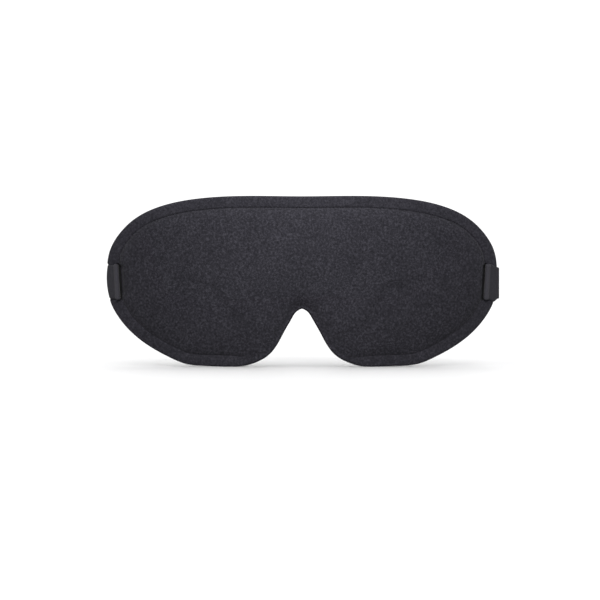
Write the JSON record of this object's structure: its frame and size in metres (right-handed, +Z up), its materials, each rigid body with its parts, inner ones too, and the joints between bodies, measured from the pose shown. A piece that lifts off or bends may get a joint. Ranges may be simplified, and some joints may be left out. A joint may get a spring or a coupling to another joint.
{
  "type": "sleep eye mask",
  "caption": "Contoured sleep mask with hollowed eye cups, a pressed rim, soft nose wings and a threaded elastic head strap with a slide adjuster.",
  "frame": {"origin": "crown of the nose notch, on the middle of the pressed rim, in the mirror plane of the mask", "axes": "+X to the right of someone who looks at the front of the mask, -Y out of its front towards them, +Y back towards the wearer's head, +Z up"},
  "size_m": [0.2387, 0.1688, 0.1041],
  "materials": {
    "cover_knit": "matt heathered charcoal knit",
    "blackout_film": "matt",
    "foam": "soft open foam",
    "lining_knit": "matt brushed knit",
    "elastic": "woven elastic",
    "slider_plastic": "satin moulded",
    "thread": "matt thread"
  },
  "bodies": {
    "mask": {"front_cover": "cover_knit", "blackout_film": "blackout_film", "foam_core": "foam", "face_cushion": "foam", "face_lining": "lining_knit", "eye_cup_right": "lining_knit", "eye_cup_left": "lining_knit", "strap_thread_right": "elastic", "strap_thread_left": "elastic"},
    "nose_wing_r": {"nose_wing_right": "lining_knit"},
    "nose_wing_l": {"nose_wing_left": "lining_knit"},
    "strap_sides": {"strap_arm_right": "elastic", "strap_arm_left": "elastic", "strap_tail_left": "elastic", "strap_return_layer": "elastic", "tail_stitches": "thread"},
    "strap_rear": {"strap_rear_band": "elastic"},
    "adjuster": {"slide_adjuster": "slider_plastic", "strap_end_loop": "elastic", "loop_stitches": "thread"}
  },
  "joints": [
    {"name": "strap_swing", "type": "hinge", "parent": "mask", "child": "strap_sides", "pos_m": [0, 0.026, 0.0162], "axis": [1, 0, 0], "range_deg": [-17, 35]},
    {"name": "strap_stretch", "type": "slide", "parent": "strap_sides", "child": "strap_rear", "axis": [0, 1, 0], "range_m": [0, 0.04], "stiffness_N_per_m": 60, "deforming": ["strap_arm_right", "strap_arm_left"]},
    {"name": "slider_travel", "type": "slide", "parent": "strap_sides", "child": "adjuster", "axis": [0, 1, 0], "range_m": [-0.008, 0.016], "deforming": ["strap_return_layer"]},
    {"name": "nose_wing_right_flex", "type": "hinge", "parent": "mask", "child": "nose_wing_r", "pos_m": [0.0194, 0.01584, -0.0145], "axis": [0.5299, 0, -0.848], "range_deg": [0, 22], "stiffness_Nm_per_rad": 0.002},
    {"name": "nose_wing_left_flex", "type": "hinge", "parent": "mask", "child": "nose_wing_l", "pos_m": [-0.0194, 0.01584, -0.0145], "axis": [0.5299, 0, 0.848], "range_deg": [0, 22], "stiffness_Nm_per_rad": 0.002}
  ]
}
